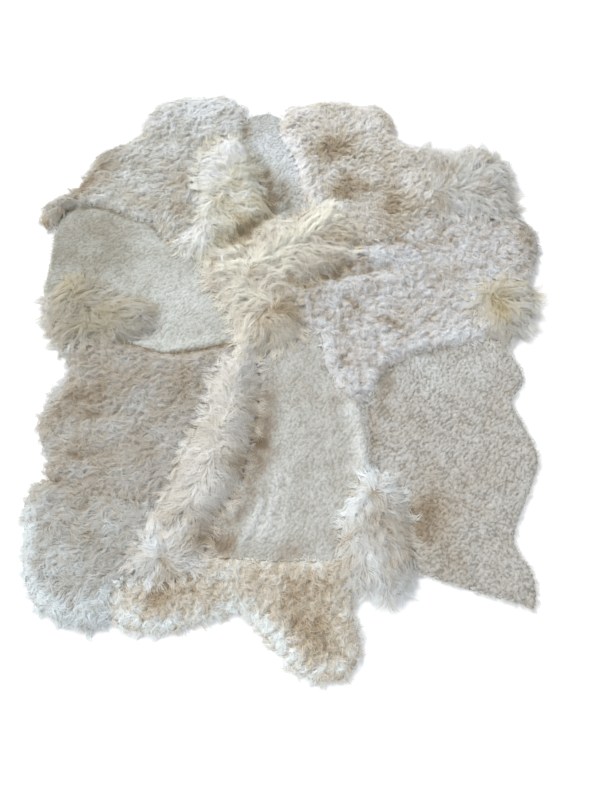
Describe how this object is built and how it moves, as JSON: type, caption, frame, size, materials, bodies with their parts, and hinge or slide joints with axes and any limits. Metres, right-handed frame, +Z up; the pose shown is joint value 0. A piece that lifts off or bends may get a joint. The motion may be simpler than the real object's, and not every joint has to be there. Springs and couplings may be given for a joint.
{
  "type": "patchwork fur rug",
  "caption": "Irregular patchwork rug of natural sheepskin: shorn, curly, fleecy and long-haired cream pieces sewn edge to edge, with scalloped edges and loose locks.",
  "frame": {"origin": "middle of the rug's underside, on the floor", "axes": "+Z up out of the pile, +Y along the rug towards its head, +X to its right"},
  "size_m": [1.7182, 2.0238, 0.0704],
  "materials": {
    "shorn_wool": "short tight curls, matt",
    "curled_wool": "open curls, matt",
    "fleece_wool": "wavy fleece, matt",
    "long_wool": "long locks, soft sheen"
  },
  "bodies": {
    "root": {"fleece_head_left": "fleece_wool", "long_head": "long_wool", "shorn_head": "shorn_wool", "fleece_head_right": "fleece_wool", "long_shoulder": "long_wool", "curled_right": "curled_wool", "long_flank_right": "long_wool", "shorn_right": "shorn_wool", "long_foot": "long_wool", "shorn_centre": "shorn_wool", "shorn_left": "shorn_wool", "long_centre": "long_wool", "long_flank_left": "long_wool", "fleece_left": "fleece_wool", "long_strip": "long_wool", "long_rosette": "long_wool", "fleece_foot_left": "fleece_wool", "curled_foot": "curled_wool"}
  },
  "joints": []
}
